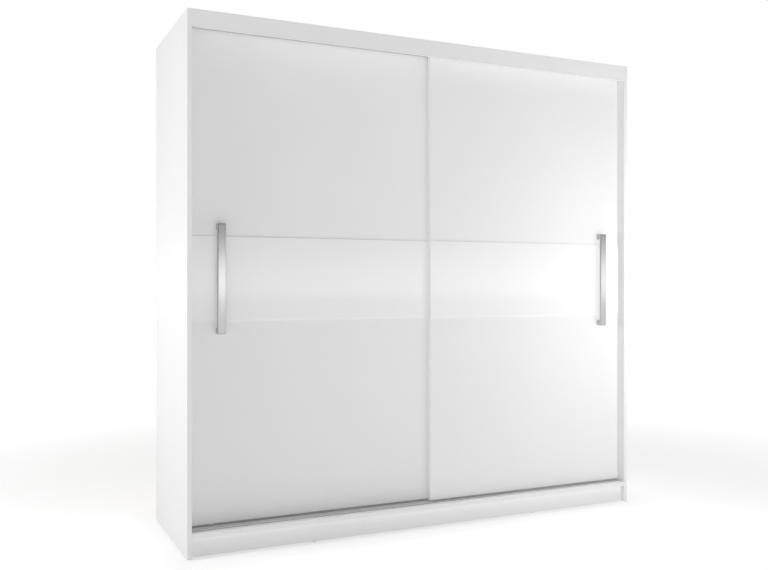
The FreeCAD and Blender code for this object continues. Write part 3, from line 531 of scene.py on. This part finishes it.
def door_board(side):
    """The door board has open mortises in its back, so its outline is built from the node's own mesh box."""
    node = side + "_door_panel"
    lo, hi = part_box(node)
    body = side + "_door"
    bores = []
    bm = bmesh.new()
    core_lo = Vector((lo.x + BAND + GROOVE, lo.y, lo.z + BAND + GROOVE))
    core_hi = Vector((hi.x - BAND - GROOVE, hi.y, hi.z - BAND - GROOVE))
    add_box(bm, core_lo, core_hi, 0.25 * MM, 1, 0)
    for i, face, sign in ((0, lo.x, 1), (0, hi.x, -1), (2, lo.z, 1), (2, hi.z, -1)):
        s_lo, s_hi = Vector(lo), Vector(hi)
        if sign > 0:
            s_hi[i] = face + BAND
        else:
            s_lo[i] = face - BAND
        if i == 2:
            s_lo.x += BAND + GROOVE
            s_hi.x -= BAND + GROOVE
        add_box(bm, s_lo, s_hi, 0.75 * MM, 3, 1,
                only=lambda e: all(abs(v.co[i] - face) < 1e-7 for v in e.verts))
    piece = finish_piece(bm, node + "_board", [M["melamine"], M["edging"], M["core"]], body, [node])
    # mortises, cut where the housings sit
    cutter_bm = bmesh.new()
    lane = (lo.y + hi.y) / 2
    for housing, is_roller in ((side + "_door_roller_housings", True), (side + "_door_guide_housings", False)):
        h_lo, h_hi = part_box(housing)
        half = (30.2 if is_roller else 20) * MM
        inset = (90 if is_roller else 60) * MM
        for x in (lo.x + inset, hi.x - inset):
            z_lo = lo.z - 2 * MM if is_roller else h_lo.z + 8 * MM
            z_hi = lo.z + 40 * MM if is_roller else hi.z + 2 * MM
            add_box(cutter_bm, (x - half, lane - 6 * MM, z_lo), (x + half, hi.y + 1 * MM, z_hi))
    bmesh.ops.recalc_face_normals(cutter_bm, faces=cutter_bm.faces)
    cutter_mesh = bpy.data.meshes.new("cutter")
    cutter_bm.to_mesh(cutter_mesh)
    cutter_bm.free()
    cutter_mesh.materials.append(M["core"])
    cutter = bpy.data.objects.new("cutter", cutter_mesh)
    bpy.context.scene.collection.objects.link(cutter)
    piece.modifiers.clear()
    mod = piece.modifiers.new("mortises", "BOOLEAN")
    mod.operation, mod.solver, mod.object = "DIFFERENCE", "EXACT", cutter
    mod.material_mode = "TRANSFER"
    graph = bpy.context.evaluated_depsgraph_get()
    cut_mesh = bpy.data.meshes.new_from_object(piece.evaluated_get(graph))
    old = piece.data
    piece.modifiers.clear()
    piece.data = cut_mesh
    bpy.data.meshes.remove(old)
    bpy.data.objects.remove(cutter)
    for poly in piece.data.polygons:
        poly.use_smooth = False
    return piece


door_board("left")
door_board("right")

# back panels: white inside, raw fibre outside
for node in ("left_back_panel", "right_back_panel"):
    lo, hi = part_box(node)
    bm = bmesh.new()
    add_box(bm, lo, hi, 0.2 * MM, 1, 0)
    for face in bm.faces:
        if face.normal.y > 0.5 or face.calc_center_median().y > hi.y - 0.1 * MM:
            face.material_index = 1
    finish_piece(bm, node + "_sheet", [M["back_in"], M["back_out"]], node_body[node], [node])


# ------------------------------------------------------------------ glass bands
for side in ("left", "right"):
    node = side + "_door_glass_band"
    lo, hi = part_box(node)
    bm = bmesh.new()
    add_box(bm, lo, hi, 0.7 * MM, 3, 0)
    for face in bm.faces:
        if abs(face.normal.y) < 0.5:
            face.material_index = 1
    finish_piece(bm, node + "_sheet", [M["glass"], M["glass_edge"]], node_body[node], [node])


# ------------------------------------------------------------------ handles
def handle_piece(side):
    """The bent bar: rings of its side outline, each drawn in by the rounding of its long edges."""
    node = side + "_door_handle"
    lo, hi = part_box(node)
    grip, foot, outer, inner, edge = 11 * MM, 24 * MM, 6 * MM, 3 * MM, 5 * MM
    y0, y1, z0, z1 = lo.y, hi.y, lo.z, hi.z

    def outline(d):
        points = [(y1, z0 + d)]
        points += arc(y0 + outer, z0 + outer, outer - d, 270, 180, 10)
        points += arc(y0 + outer, z1 - outer, outer - d, 180, 90, 10)
        points += [(y1, z1 - d), (y1, z1 - foot + d)]
        points += arc(y0 + grip + inner, z1 - foot - inner, inner + d, 90, 180, 10)
        points += arc(y0 + grip + inner, z0 + foot + inner, inner + d, 180, 270, 10)
        return points + [(y1, z0 + foot - d)]

    steps = 8
    places = []
    for k in range(steps + 1):
        angle = math.pi / 2 * k / steps
        places.append((edge * (1 - math.cos(angle)), edge * (1 - math.sin(angle))))
    wide = hi.x - lo.x
    places += [(wide - across, d) for across, d in reversed(places)]
    bm = bmesh.new()
    rings = [[bm.verts.new((lo.x + across, y, z)) for y, z in outline(d)] for across, d in places]
    for one, two in zip(rings, rings[1:]):
        for i in range(len(one)):
            j = (i + 1) % len(one)
            bm.faces.new((one[i], two[i], two[j], one[j]))
    bm.faces.new(rings[0])
    bm.faces.new(list(reversed(rings[-1])))
    return finish_piece(bm, node + "_bar", [M["satin"]], node_body[node], [node])


handles = [handle_piece("left"), handle_piece("right")]


# ------------------------------------------------------------------ tracks
def track_piece(node, section):
    lo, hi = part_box(node)
    points = [(lo.y + u * MM, lo.z + v * MM) for u, v in section]
    bm = bmesh.new()
    ends, loops = extrude_section(bm, points, 0, lo.x, hi.x, 0)
    long_edges = [e for e in bm.edges if abs(e.verts[0].co.x - e.verts[1].co.x) > 0.5]
    sharp = [e for e in long_edges if e.calc_face_angle(0) > math.radians(50)]
    bmesh.ops.bevel(bm, geom=sharp, offset=0.2 * MM, segments=2, profile=0.5, affect="EDGES", clamp_overlap=True, material=-1)
    return finish_piece(bm, node + "_extrusion", [M["track"]], node_body[node], [node])


def rib(centre, half=1.5, base=1.5, top=4.4):
    """Running rib with a rounded crown."""
    crown = [(centre + half * math.cos(math.radians(a)), top - 1.1 + 1.1 * math.sin(math.radians(a))) for a in range(0, 181, 15)]
    return [(centre + half, base)] + crown + [(centre - half, base)]


lanes = (53 - 27, 87 - 27)
track_piece("bottom_track", [(0, 0), (78, 0), (78, 4), (76.5, 4), (76.5, 1.5)] + rib(lanes[1]) + rib(lanes[0]) + [(1.5, 1.5), (1.5, 4), (0, 4)])
section = [(0, 20), (0, 18)]
for lane in (13, 47):
    section += [(lane - 6.5, 18), (lane - 6.5, 0), (lane - 5, 0), (lane - 5, 18), (lane + 5, 18), (lane + 5, 0), (lane + 6.5, 0), (lane + 6.5, 18)]
section += [(60, 18), (60, 20)]
track_piece("top_track", section)


# ------------------------------------------------------------------ screws and other hardware
def screw_on(bm, head, axis, head_radius, head_tall, shank_radius, shank_long):
    """Pan-head screw with a cross recess; axis is the way it is driven."""
    axis = Vector(axis).normalized()
    side = Vector((1, 0, 0)) if abs(axis.x) < 0.9 else Vector((0, 1, 0))
    u = axis.cross(side).normalized()
    w = axis.cross(u).normalized()
    head = Vector(head)
    steps = 32

    def ring(radius, along):
        return [
            bm.verts.new(head - axis * along + (u * math.cos(2 * math.pi * i / steps) + w * math.sin(2 * math.pi * i / steps)) * radius)
            for i in range(steps)
        ]

    def skin(a, b):
        for i in range(steps):
            j = (i + 1) % steps
            bm.faces.new((a[i], a[j], b[j], b[i]))

    profile = [(head_radius, 0), (head_radius, head_tall * 0.25), (head_radius * 0.93, head_tall * 0.6), (head_radius * 0.78, head_tall * 0.88), (head_radius * 0.6, head_tall)]
    rings = [ring(r, a) for r, a in profile]
    for a, b in zip(rings, rings[1:]):
        skin(a, b)
    # the recess: a cross whose floor lies deeper, joined to the last ring
    arm, slot = head_radius * 0.48, head_radius * 0.13
    depth = head_tall * 0.7
    cross = []
    for q in range(4):
        c, s = math.cos(q * math.pi / 2), math.sin(q * math.pi / 2)
        for a, b in ((arm, -slot), (arm, slot), (slot, slot)):
            cross.append((a * c - b * s, a * s + b * c))
    top = [bm.verts.new(head - axis * head_tall + u * a + w * b) for a, b in cross]
    floor = [bm.verts.new(head - axis * (head_tall - depth) + u * a * 0.8 + w * b * 0.8) for a, b in cross]
    last = rings[-1]
    edges = [bm.edges.new((top[i], top[(i + 1) % 12])) for i in range(12)]
    ring_edges = [bm.edges.get((last[i], last[(i + 1) % steps])) for i in range(steps)]
    bmesh.ops.triangle_fill(bm, use_beauty=True, use_dissolve=False, edges=edges + ring_edges)
    for i in range(12):
        j = (i + 1) % 12
        bm.faces.new((top[i], top[j], floor[j], floor[i]))
    bm.faces.new(floor)
    # shank with a thread of stepped rings
    rings = [rings[0], ring(shank_radius, 0)]
    skin(rings[0], rings[1])
    last = rings[1]
    pitch, along = shank_radius * 0.75, 0.6 * MM
    while along + pitch < shank_long - 1.5 * MM:
        for radius, shift in ((0.82, 0.15), (1.0, 0.5), (0.82, 0.85)):
            new = ring(shank_radius * radius, -(along + pitch * shift))
            skin(last, new)
            last = new
        along += pitch
    new = ring(shank_radius * 0.82, -(shank_long - 1.2 * MM))
    skin(last, new)
    tip = bm.verts.new(head + axis * shank_long)
    for i in range(steps):
        bm.faces.new((new[i], new[(i + 1) % steps], tip))


def islands(node):
    """Lowest and highest corners of each separate solid in a node's mesh."""
    mesh = nodes[node].data
    parent = list(range(len(mesh.vertices)))

    def find(i):
        while parent[i] != i:
            parent[i] = parent[parent[i]]
            i = parent[i]
        return i

    for e in mesh.edges:
        a, b = find(e.vertices[0]), find(e.vertices[1])
        if a != b:
            parent[a] = b
    merged = {}
    # the imported mesh may split a solid at its sharp edges, so join by place too
    places = {}
    for v in mesh.vertices:
        key = tuple(round(c, 6) for c in v.co)
        if key in places:
            a, b = find(v.index), find(places[key])
            if a != b:
                parent[a] = b
        else:
            places[key] = v.index
    for v in mesh.vertices:
        root = find(v.index)
        lo, hi = merged.get(root, (Vector((1e9,) * 3), Vector((-1e9,) * 3)))
        merged[root] = (Vector(map(min, lo, v.co)), Vector(map(max, hi, v.co)))
    return sorted(merged.values(), key=lambda p: tuple(p[0]))


def screws_piece(node, sizes):
    """Every screw of a node, each rebuilt where its solid is. sizes(lo, hi) gives the head point, axis and radii."""
    bm = bmesh.new()
    for lo, hi in islands(node):
        screw_on(bm, *sizes(lo, hi))
    return finish_piece(bm, node + "_set", [M["zinc"]], node_body[node], [node], smooth=True, weighted=True)


def from_back(head_radius, head_tall, shank_radius):
    """Screws driven towards -Y: the head is at the high Y end."""
    def sizes(lo, hi):
        c = (lo + hi) / 2
        return ((c.x, hi.y - head_tall, c.z), (0, -1, 0), head_radius, head_tall, shank_radius, hi.y - head_tall - lo.y)
    return sizes


for side in ("left", "right"):
    screws_piece(side + "_door_handle_screws", from_back(4 * MM, 2.2 * MM, 2 * MM))
    screws_piece(side + "_door_hardware_screws", from_back(3 * MM, 1.6 * MM, 1.6 * MM))


def track_screw(lo, hi):
    c = (lo + hi) / 2
    if c.z < 1:
        return ((c.x, c.y, hi.z - 2 * MM), (0, 0, -1), 3.5 * MM, 2 * MM, 1.75 * MM, hi.z - 2 * MM - lo.z)
    return ((c.x, c.y, lo.z + 2 * MM), (0, 0, 1), 3.5 * MM, 2 * MM, 1.75 * MM, hi.z - lo.z - 2 * MM)


screws_piece("track_screws", track_screw)


def rail_screw(lo, hi):
    c = (lo + hi) / 2
    if c.x < -0.5:
        return ((hi.x - 1.8 * MM, c.y, c.z), (-1, 0, 0), 3.2 * MM, 1.8 * MM, 1.6 * MM, hi.x - 1.8 * MM - lo.x)
    return ((lo.x + 1.8 * MM, c.y, c.z), (1, 0, 0), 3.2 * MM, 1.8 * MM, 1.6 * MM, hi.x - lo.x - 1.8 * MM)


screws_piece("rail_bracket_screws", rail_screw)


# rollers, turned, with their running groove
def roller_piece(node):
    lo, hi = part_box(node)
    c = (lo + hi) / 2
    R, G, B = 11.5 * MM, 9.3 * MM, 2.55 * MM
    h, g = 3.5 * MM, 1.9 * MM
    bm = bmesh.new()
    closed_lathe(bm, c, (0, 1, 0), [
        (B, -h + 0.3 * MM), (B + 0.3 * MM, -h), (5.4 * MM, -h), (5.8 * MM, -h + 0.7 * MM), (8.2 * MM, -h + 0.7 * MM), (8.6 * MM, -h),
        (R - 0.6 * MM, -h), (R - 0.15 * MM, -h + 0.2 * MM), (R, -h + 0.6 * MM), (R, -g - 0.7 * MM), (R - 0.3 * MM, -g - 0.5 * MM),
        (G + 0.2 * MM, -g + 0.05 * MM), (G, -g + 0.3 * MM), (G, g - 0.3 * MM), (G + 0.2 * MM, g - 0.05 * MM),
        (R - 0.3 * MM, g + 0.5 * MM), (R, g + 0.7 * MM), (R, h - 0.6 * MM), (R - 0.15 * MM, h - 0.2 * MM), (R - 0.6 * MM, h),
        (8.6 * MM, h), (8.2 * MM, h - 0.7 * MM), (5.8 * MM, h - 0.7 * MM), (5.4 * MM, h), (B + 0.3 * MM, h), (B, h - 0.3 * MM),
    ], 64)
    return finish_piece(bm, node + "_wheel", [M["nylon"]], node_body[node], [node])


def guide_pin_piece(node):
    lo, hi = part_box(node)
    c = (lo + hi) / 2
    base = Vector((c.x, c.y, 0))
    top = hi.z
    low = lo.z
    bm = bmesh.new()
    lathe(bm, base, (0, 0, 1), [
        (0, low), (2.1 * MM, low), (2.5 * MM, low + 0.4 * MM), (2.5 * MM, low + 10 * MM), (4.6 * MM, low + 10 * MM),
        (5 * MM, low + 10.4 * MM), (5 * MM, low + 15.6 * MM), (4.6 * MM, low + 16 * MM), (4 * MM, low + 16 * MM),
        (4 * MM, top - 2 * MM), (3.7 * MM, top - 0.9 * MM), (3.1 * MM, top - 0.25 * MM), (2.2 * MM, top), (0, top),
    ], 48)
    return finish_piece(bm, node + "_pin", [M["nylon"]], node_body[node], [node])


def spring_piece(node):
    """The compression spring, a round wire on a helix with closed ends."""
    lo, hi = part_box(node)
    c = (lo + hi) / 2
    mean, wire = 3.8 * MM, 0.5 * MM
    z0, z1 = lo.z + wire, hi.z - wire
    turns, per_turn, sides = 8.0, 28, 10
    count = int(turns * per_turn)
    bm = bmesh.new()
    rings = []
    for i in range(count + 1):
        t = i / count
        # dead coils at both ends, open coils between
        lift = min(1.0, max(0.0, (t - 0.1) / 0.8))
        angle = 2 * math.pi * turns * t
        z = z0 + (z1 - z0) * (0.035 * (t / 0.1 if t < 0.1 else 1.0) + 0.93 * lift + (0.035 * (t - 0.9) / 0.1 if t > 0.9 else 0.0))
        radial = Vector((math.cos(angle), math.sin(angle), 0))
        centre = Vector((c.x, c.y, z)) + radial * mean
        rings.append([
            bm.verts.new(centre + radial * (wire * math.cos(2 * math.pi * k / sides)) + Vector((0, 0, wire * math.sin(2 * math.pi * k / sides))))
            for k in range(sides)
        ])
    for a, b in zip(rings, rings[1:]):
        for k in range(sides):
            bm.faces.new((a[k], a[(k + 1) % sides], b[(k + 1) % sides], b[k]))
    bm.faces.new(rings[0])
    bm.faces.new(list(reversed(rings[-1])))
    piece = finish_piece(bm, node + "_coil", [M["spring"]], node_body[node], [node], weighted=False)
    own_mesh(piece)
    return piece


for side in ("left", "right"):
    for end in ("left", "right"):
        roller_piece(f"{side}_door_roller_{end}")
        guide_pin_piece(f"{side}_door_guide_pin_{end}")
        spring_piece(f"{side}_door_guide_spring_{end}")

# floor glides with a rounded foot
bm = bmesh.new()
for lo, hi in islands("floor_glides"):
    c = (lo + hi) / 2
    r = (hi.x - lo.x) / 2
    lathe(bm, (c.x, c.y, 0), (0, 0, 1), [(0, 0), (r - 1.6 * MM, 0), (r - 0.7 * MM, 0.25 * MM), (r - 0.15 * MM, 0.9 * MM), (r, 1.8 * MM), (r, hi.z - 0.2 * MM), (r - 0.2 * MM, hi.z), (0, hi.z)], 40)
finish_piece(bm, "floor_glides_set", [M["white_plastic"]], node_body["floor_glides"], ["floor_glides"])

# fluted beech dowels
bm = bmesh.new()
for lo, hi in islands("wood_dowels"):
    c = (lo + hi) / 2
    size = hi - lo
    i = max(range(3), key=lambda k: size[k])
    axis = Vector((0, 0, 0))
    axis[i] = 1
    start = c.copy()
    start[i] = lo[i]
    r, length = 3.95 * MM, size[i]
    lathe(bm, start, axis, [(0, 0), (r - 0.9 * MM, 0), (r, 0.9 * MM), (r, length - 0.9 * MM), (r - 0.9 * MM, length), (0, length)], 36, 0, fluted=1)
finish_piece(bm, "wood_dowels_set", [M["beech"]], node_body["wood_dowels"], ["wood_dowels"])

# hanging rail: a drawn tube with a wall
lo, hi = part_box("hanging_rail")
c = (lo + hi) / 2
r, wall = (hi.z - lo.z) / 2, 1.2 * MM
bm = bmesh.new()
closed_lathe(bm, (lo.x, c.y, c.z), (1, 0, 0), [
    (r - 0.3 * MM, 0), (r, 0.3 * MM), (r, hi.x - lo.x - 0.3 * MM), (r - 0.3 * MM, hi.x - lo.x),
    (r - wall, hi.x - lo.x), (r - wall, 0),
], 64)
finish_piece(bm, "hanging_rail_tube", [M["chrome"]], node_body["hanging_rail"], ["hanging_rail"])

# the CAD nodes that stay get their materials and a softened edge
STAYS = {
    "hanging_rail_brackets": ("chrome", 0.3), "track_stops": ("rubber", 0.5),
    "shelf_pins": ("zinc", 0.2), "cam_locks": ("cast", 0.2), "cam_bolts": ("zinc", 0.2),
    "back_panel_nails": ("zinc", 0),
    "left_door_roller_housings": ("grey", 0.3), "right_door_roller_housings": ("grey", 0.3),
    "left_door_guide_housings": ("grey", 0.3), "right_door_guide_housings": ("grey", 0.3),
    "left_door_roller_axles": ("zinc", 0.2), "right_door_roller_axles": ("zinc", 0.2),
    "left_door_roller_adjusters": ("zinc", 0.2), "right_door_roller_adjusters": ("zinc", 0.2),
}
for node, (material, soften) in STAYS.items():
    item = nodes[node]
    item.data.materials.clear()
    item.data.materials.append(M[material])
    for poly in item.data.polygons:
        poly.material_index = 0
    if soften:
        weld = item.modifiers.new("weld", "WELD")
        weld.merge_threshold = 0.00001
        mod = item.modifiers.new("soften", "BEVEL")
        mod.width = soften * MM
        mod.segments = 2
        mod.limit_method = "ANGLE"
        mod.angle_limit = math.radians(50)
        mod.use_clamp_overlap = True
        item.modifiers.new("face_normals", "WEIGHTED_NORMAL").weight = 50

# ------------------------------------------------------------------ stage and light
SKY, ROOM, GLOW, NEAR, FAR, FRONT, KEY, SIDE = 0.13, 0.50, 1.70, 0.44, 0.68, 0.68, 7.3, 31.0

floor_material = Nodes("stage_floor")
floor_material.colour(floor_material.blend(floor_material.noise(0.8, 2), (0.54, 0.54, 0.54), (0.56, 0.56, 0.56)))
floor_material.put(Roughness=0.95, Specular_IOR_Level=0.0, Emission_Color=(1, 1, 1, 1))
# the sheet glows evenly, a little more where the lamps don't reach it
on_floor = floor_material.node("ShaderNodeTexCoord")
away = floor_material.node("ShaderNodeVectorMath", operation="LENGTH")
floor_material.link(on_floor.outputs["Object"], away.inputs[0])
spread = floor_material.node("ShaderNodeMapRange", interpolation_type="SMOOTHSTEP")
for name, value in (("From Min", 1.4), ("From Max", 4.2), ("To Min", NEAR), ("To Max", FAR)):
    spread.inputs[name].default_value = value
floor_material.link(away.outputs["Value"], spread.inputs["Value"])
floor_material.link(spread.outputs["Result"], floor_material.shader.inputs["Emission Strength"])
bm = bmesh.new()
bmesh.ops.create_grid(bm, x_segments=2, y_segments=2, size=60)
mesh = bpy.data.meshes.new("stage_floor")
bm.to_mesh(mesh)
bm.free()
mesh.materials.append(floor_material.mat)
floor = bpy.data.objects.new("stage_floor", mesh)
bpy.context.scene.collection.objects.link(floor)

world = bpy.data.worlds.new("studio")
bpy.context.scene.world = world
world.use_nodes = True
tree = world.node_tree


def world_node(kind, **inputs):
    made = tree.nodes.new(kind)
    for name, value in inputs.items():
        made.inputs[name.replace("_", " ")].default_value = value
    return made


# a white room: mirrors see a bright band at eye height and a dimmer left, dull surfaces get an even soft light
place = world_node("ShaderNodeTexCoord")
split = world_node("ShaderNodeSeparateXYZ")
tree.links.new(place.outputs["Generated"], split.inputs["Vector"])
height = world_node("ShaderNodeMath")
height.operation = "ABSOLUTE"
tree.links.new(split.outputs["Z"], height.inputs[0])
low_band = world_node("ShaderNodeMapRange", From_Min=0.0, From_Max=0.065, To_Min=ROOM + GLOW, To_Max=ROOM)
low_band.interpolation_type = "SMOOTHSTEP"
tree.links.new(height.outputs[0], low_band.inputs["Value"])
from_left = world_node("ShaderNodeMapRange", From_Min=-0.55, From_Max=-0.20, To_Min=0.42, To_Max=1.0)
from_left.interpolation_type = "SMOOTHSTEP"
tree.links.new(split.outputs["X"], from_left.inputs["Value"])
seen = world_node("ShaderNodeMath")
seen.operation = "MULTIPLY"
tree.links.new(low_band.outputs["Result"], seen.inputs[0])
tree.links.new(from_left.outputs["Result"], seen.inputs[1])
mirrored = world_node("ShaderNodeBackground", Color=(1, 1, 1, 1))
tree.links.new(seen.outputs[0], mirrored.inputs["Strength"])
soft = tree.nodes["Background"]
soft.inputs["Color"].default_value = (1, 1, 1, 1)
soft.inputs["Strength"].default_value = SKY
white = world_node("ShaderNodeBackground", Color=(1, 1, 1, 1), Strength=1.0)
path = world_node("ShaderNodeLightPath")
for_gloss = world_node("ShaderNodeMixShader")
tree.links.new(path.outputs["Is Glossy Ray"], for_gloss.inputs["Fac"])
tree.links.new(soft.outputs["Background"], for_gloss.inputs[1])
tree.links.new(mirrored.outputs["Background"], for_gloss.inputs[2])
mix = world_node("ShaderNodeMixShader")
tree.links.new(path.outputs["Is Camera Ray"], mix.inputs["Fac"])
tree.links.new(for_gloss.outputs["Shader"], mix.inputs[1])
tree.links.new(white.outputs["Background"], mix.inputs[2])
tree.links.new(mix.outputs["Shader"], tree.nodes["World Output"].inputs["Surface"])


def aimed(light, place, target):
    light.location = place
    light.rotation_euler = (Vector(target) - Vector(place)).to_track_quat("-Z", "Y").to_euler()
    bpy.context.scene.collection.objects.link(light)


def area(name, place, target, size_x, size_y, power):
    data = bpy.data.lights.new(name, "AREA")
    data.shape = "RECTANGLE"
    data.size, data.size_y = size_x, size_y
    data.energy = power
    light = bpy.data.objects.new(name, data)
    light.visible_camera = light.visible_glossy = False
    aimed(light, place, target)
    return data


# fill from the viewer's side and a tall lamp at the right: neither casts a shadow, as with many large diffusers
front = bpy.data.lights.new("front_soft", "SUN")
front.angle = math.radians(28)
front.energy = FRONT
front.use_shadow = False
fill = bpy.data.objects.new("front_soft", front)
fill.visible_glossy = False
aimed(fill, (-2.2, -4.5, 1.5), (-2.2 + 0.4226, -4.5 + 0.9063, 1.5 - 0.10))
# behind and above, out of the main view's faces: the top, back and right side are lit as evenly as the front
rear = bpy.data.lights.new("rear_soft", "SUN")
rear.angle = math.radians(20)
rear.energy = 1.9
rear_fill = bpy.data.objects.new("rear_soft", rear)
rear_fill.visible_glossy = False
aimed(rear_fill, (4, 3.4, 1.6), (0, 0, 1.55))
above = bpy.data.lights.new("above_soft", "SUN")
above.angle = math.radians(12)
above.energy = 1.65
over = bpy.data.objects.new("above_soft", above)
over.visible_glossy = False
aimed(over, (0, 0, 5), (0, 0.01, 0))
area("key_right", (1.30, -1.24, 1.02), (0.66, -0.48, 1.02), 0.4, 1.0, KEY).use_shadow = False
area("fill_left", (-3.2, -0.35, 1.40), (-1.0, -0.05, 1.25), 1.3, 1.3, SIDE)

scene = bpy.context.scene
scene.view_settings.view_transform = "Standard"
scene.view_settings.look = "None"
scene.view_settings.exposure = 0.0

# ------------------------------------------------------------------ the end
bpy.context.view_layer.update()
